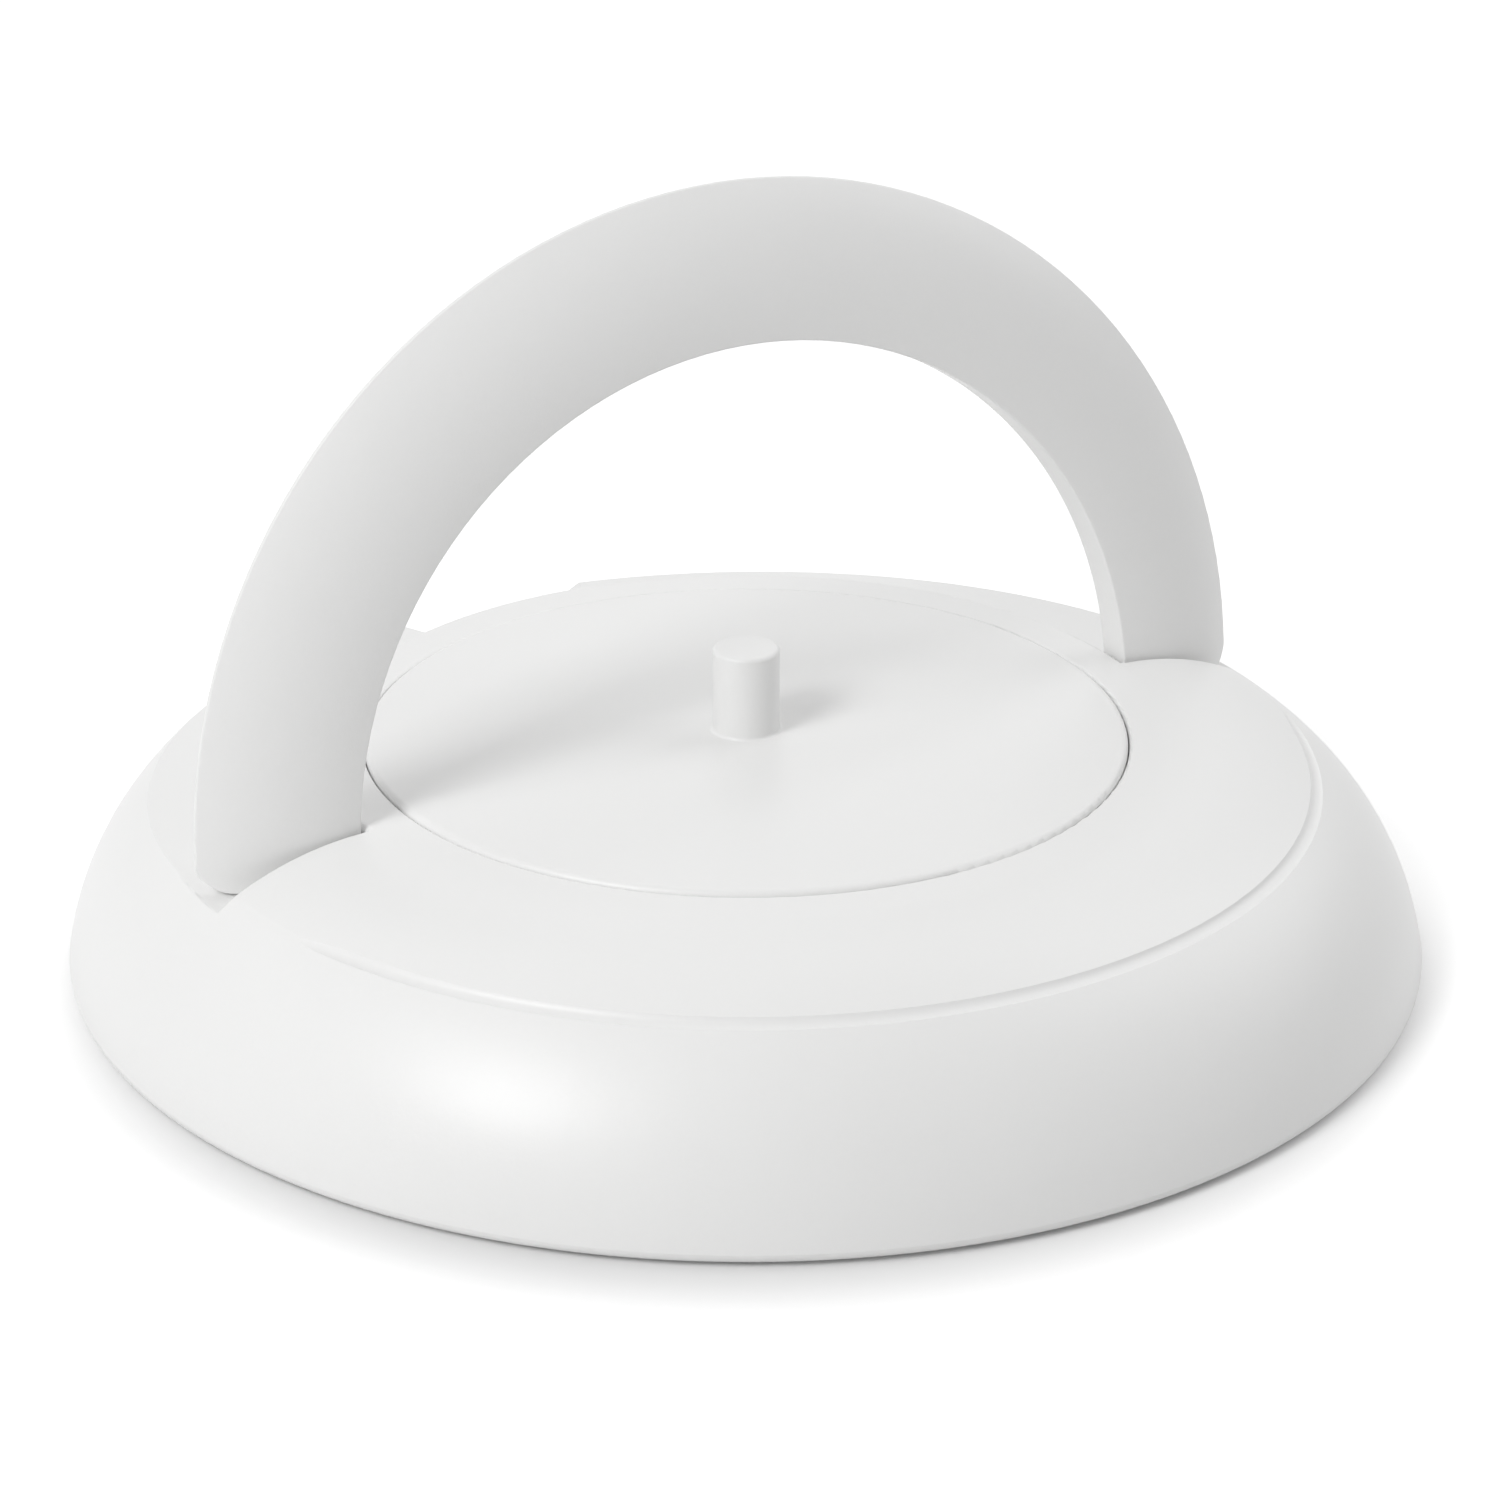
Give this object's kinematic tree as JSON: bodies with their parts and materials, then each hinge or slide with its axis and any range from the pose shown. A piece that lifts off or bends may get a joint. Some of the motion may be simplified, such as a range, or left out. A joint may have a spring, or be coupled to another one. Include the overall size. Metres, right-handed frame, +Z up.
{
  "type": "lazy susan turntable",
  "caption": "Low domed turntable with a flat turning disc, a centre peg that locates what stands on it, and a half-ring carrying handle that folds down into the rim.",
  "frame": {"origin": "centre of the underside, on the surface that the rubber feet stand on", "axes": "+Z up along the axle; X along the handle's pivot line; +Y towards the channel that the handle folds into"},
  "size_m": [0.2002, 0.2002, 0.1133],
  "materials": {
    "white_plastic": "satin moulded, faint grain",
    "cover_plastic": "matt moulded",
    "foot_rubber": "matt",
    "bearing_plastic": "natural acetal",
    "washer_plastic": "smooth",
    "zinc_steel": "bright zinc",
    "ball_steel": "polished"
  },
  "bodies": {
    "base": {"base_shell": "white_plastic", "bottom_cover": "cover_plastic", "cover_screws": "zinc_steel", "rubber_feet": "foot_rubber", "axle_bush": "bearing_plastic", "lower_race": "zinc_steel", "pivot_washers": "washer_plastic"},
    "disc": {"turntable_disc": "white_plastic", "centre_peg": "white_plastic", "axle_pin": "zinc_steel", "upper_race": "zinc_steel", "thrust_washer": "washer_plastic", "axle_clip": "zinc_steel"},
    "cage": {"ball_cage": "bearing_plastic", "bearing_balls": "ball_steel"},
    "handle": {"handle_shell": "white_plastic", "handle_back_cover": "white_plastic", "pivot_screws": "zinc_steel"}
  },
  "joints": [
    {"name": "disc_spin", "type": "hinge", "parent": "base", "child": "disc", "pos_m": [0, 0, 0.0327], "axis": [0, 0, 1], "continuous": true},
    {"name": "cage_spin", "type": "hinge", "parent": "base", "child": "cage", "pos_m": [0, 0, 0.0221], "axis": [0, 0, 1], "continuous": true},
    {"name": "handle_fold", "type": "hinge", "parent": "base", "child": "handle", "pos_m": [0, 0, 0.0274], "axis": [1, 0, 0], "range_deg": [-85.7, 4.3]}
  ],
  "couplings": [
    {"joint": "cage_spin", "follows": "disc_spin", "ratio": 0.5}
  ]
}
